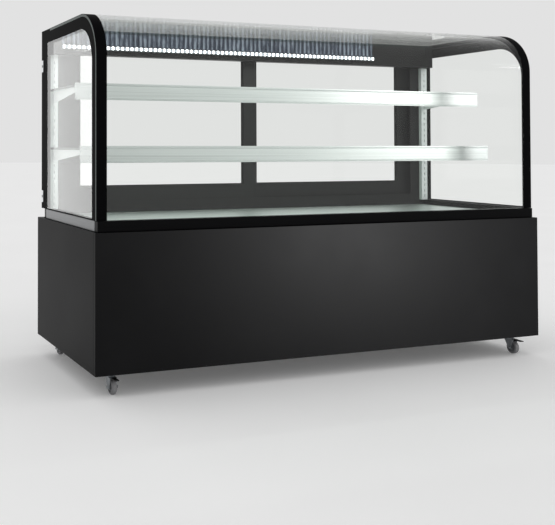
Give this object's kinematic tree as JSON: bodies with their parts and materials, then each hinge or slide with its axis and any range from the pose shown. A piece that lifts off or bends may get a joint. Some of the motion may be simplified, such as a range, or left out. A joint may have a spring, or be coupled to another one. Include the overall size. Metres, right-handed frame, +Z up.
{
  "type": "refrigerated glass display showcase",
  "caption": "Refrigerated counter showcase with a bent glass front, glass ends and shelves, sliding rear doors, a lit header and a dark base on casters.",
  "frame": {"origin": "on the floor, under the middle of the case's bounding box", "axes": "+Z up, -Y towards the customer (bent glass), +Y towards the service side (sliding doors), +X to the customer's right"},
  "size_m": [1.8416, 0.6858, 1.2688],
  "materials": {
    "black_powder_coat": "satin",
    "black_anodised": "satin",
    "dark_anodised": "satin",
    "stainless": "brushed",
    "clear_glass": "polished",
    "silver_coat": "satin",
    "shelf_rail_white": "frosted",
    "lamp_diffuser": "frosted",
    "white_liner": "satin",
    "fin_aluminium": "mill",
    "compressor_black": "gloss",
    "zinc_plate": "satin",
    "black_plastic": "moulded",
    "key_grey": "moulded",
    "wheel_grey": "moulded"
  },
  "bodies": {
    "case": {"base_pan": "black_powder_coat", "front_panel": "black_powder_coat", "left_side_panel": "black_powder_coat", "right_side_panel": "black_powder_coat", "rear_panel": "black_powder_coat", "control_panel": "black_anodised", "insulated_tub": "white_liner", "deck_plate": "stainless", "front_sill": "black_anodised", "left_sill": "black_anodised", "right_sill": "black_anodised", "front_curved_glass": "clear_glass", "left_side_glass": "clear_glass", "right_side_glass": "clear_glass", "left_rear_post": "black_anodised", "right_rear_post": "black_anodised", "top_header": "dark_anodised", "led_lamp": "lamp_diffuser", "door_top_track": "dark_anodised", "door_bottom_track": "dark_anodised", "left_shelf_standard": "silver_coat", "right_shelf_standard": "silver_coat", "upper_left_bracket": "stainless", "upper_right_bracket": "stainless", "lower_left_bracket": "stainless", "lower_right_bracket": "stainless", "upper_shelf_glass": "clear_glass", "lower_shelf_glass": "clear_glass", "upper_shelf_rail": "shelf_rail_white", "lower_shelf_rail": "shelf_rail_white", "compressor": "compressor_black", "condenser_coil": "fin_aluminium", "fan_shroud": "zinc_plate", "evaporator_coil": "fin_aluminium", "evaporator_fan_motor": "black_plastic", "drain_pan": "white_liner", "controller": "black_plastic", "cord_gland": "black_plastic"},
    "left_door": {"left_door_frame": "dark_anodised", "left_door_glass": "clear_glass", "left_door_handle": "black_plastic"},
    "right_door": {"right_door_frame": "dark_anodised", "right_door_glass": "clear_glass", "right_door_handle": "black_plastic"},
    "condenser_fan_wheel": {"condenser_fan": "black_plastic"},
    "evaporator_fan_wheel": {"evaporator_fan": "black_plastic"},
    "power_rocker": {"power_switch": "black_plastic"},
    "light_rocker": {"light_switch": "black_plastic"},
    "down_button": {"down_key": "key_grey"},
    "up_button": {"up_key": "key_grey"},
    "front_left_caster": {"front_left_fork": "zinc_plate"},
    "front_left_roller": {"front_left_wheel": "wheel_grey"},
    "front_left_pedal": {"front_left_brake_pedal": "black_plastic"},
    "front_right_caster": {"front_right_fork": "zinc_plate"},
    "front_right_roller": {"front_right_wheel": "wheel_grey"},
    "front_right_pedal": {"front_right_brake_pedal": "black_plastic"},
    "rear_left_caster": {"rear_left_fork": "zinc_plate"},
    "rear_left_roller": {"rear_left_wheel": "wheel_grey"},
    "rear_right_caster": {"rear_right_fork": "zinc_plate"},
    "rear_right_roller": {"rear_right_wheel": "wheel_grey"}
  },
  "joints": [
    {"name": "left_door_slide", "type": "slide", "parent": "case", "child": "left_door", "axis": [1, 0, 0], "range_m": [0, 0.8077]},
    {"name": "right_door_slide", "type": "slide", "parent": "case", "child": "right_door", "axis": [-1, 0, 0], "range_m": [0, 0.8077]},
    {"name": "condenser_fan_spin", "type": "hinge", "parent": "case", "child": "condenser_fan_wheel", "pos_m": [-0.63075, 0.2124, 0.215], "axis": [0, 1, 0], "continuous": true},
    {"name": "evaporator_fan_spin", "type": "hinge", "parent": "case", "child": "evaporator_fan_wheel", "pos_m": [0.45, 0, 0.477], "axis": [0, 0, 1], "continuous": true},
    {"name": "power_switch_rock", "type": "hinge", "parent": "case", "child": "power_rocker", "pos_m": [0.727, 0.3269, 0.3385], "axis": [1, 0, 0], "range_deg": [0, 16]},
    {"name": "light_switch_rock", "type": "hinge", "parent": "case", "child": "light_rocker", "pos_m": [0.682, 0.3269, 0.3385], "axis": [1, 0, 0], "range_deg": [0, 16]},
    {"name": "down_key_press", "type": "slide", "parent": "case", "child": "down_button", "axis": [0, -1, 0], "range_m": [0, 0.0015], "stiffness_N_per_m": 300},
    {"name": "up_key_press", "type": "slide", "parent": "case", "child": "up_button", "axis": [0, -1, 0], "range_m": [0, 0.0015], "stiffness_N_per_m": 300},
    {"name": "front_left_swivel", "type": "hinge", "parent": "case", "child": "front_left_caster", "pos_m": [-0.84375, -0.2729, 0.05], "axis": [0, 0, 1], "continuous": true},
    {"name": "front_left_roll", "type": "hinge", "parent": "front_left_caster", "child": "front_left_roller", "pos_m": [-0.84375, -0.2909, 0.025], "axis": [1, 0, 0], "continuous": true},
    {"name": "front_left_brake", "type": "hinge", "parent": "front_left_caster", "child": "front_left_pedal", "pos_m": [-0.84375, -0.3049, 0.05525], "axis": [1, 0, 0], "range_deg": [0, 15]},
    {"name": "front_right_swivel", "type": "hinge", "parent": "case", "child": "front_right_caster", "pos_m": [0.84375, -0.2729, 0.05], "axis": [0, 0, 1], "continuous": true},
    {"name": "front_right_roll", "type": "hinge", "parent": "front_right_caster", "child": "front_right_roller", "pos_m": [0.84375, -0.2909, 0.025], "axis": [1, 0, 0], "continuous": true},
    {"name": "front_right_brake", "type": "hinge", "parent": "front_right_caster", "child": "front_right_pedal", "pos_m": [0.84375, -0.3049, 0.05525], "axis": [1, 0, 0], "range_deg": [0, 15]},
    {"name": "rear_left_swivel", "type": "hinge", "parent": "case", "child": "rear_left_caster", "pos_m": [-0.84375, 0.2729, 0.05], "axis": [0, 0, 1], "continuous": true},
    {"name": "rear_left_roll", "type": "hinge", "parent": "rear_left_caster", "child": "rear_left_roller", "pos_m": [-0.84375, 0.2909, 0.025], "axis": [1, 0, 0], "continuous": true},
    {"name": "rear_right_swivel", "type": "hinge", "parent": "case", "child": "rear_right_caster", "pos_m": [0.84375, 0.2729, 0.05], "axis": [0, 0, 1], "continuous": true},
    {"name": "rear_right_roll", "type": "hinge", "parent": "rear_right_caster", "child": "rear_right_roller", "pos_m": [0.84375, 0.2909, 0.025], "axis": [1, 0, 0], "continuous": true}
  ]
}
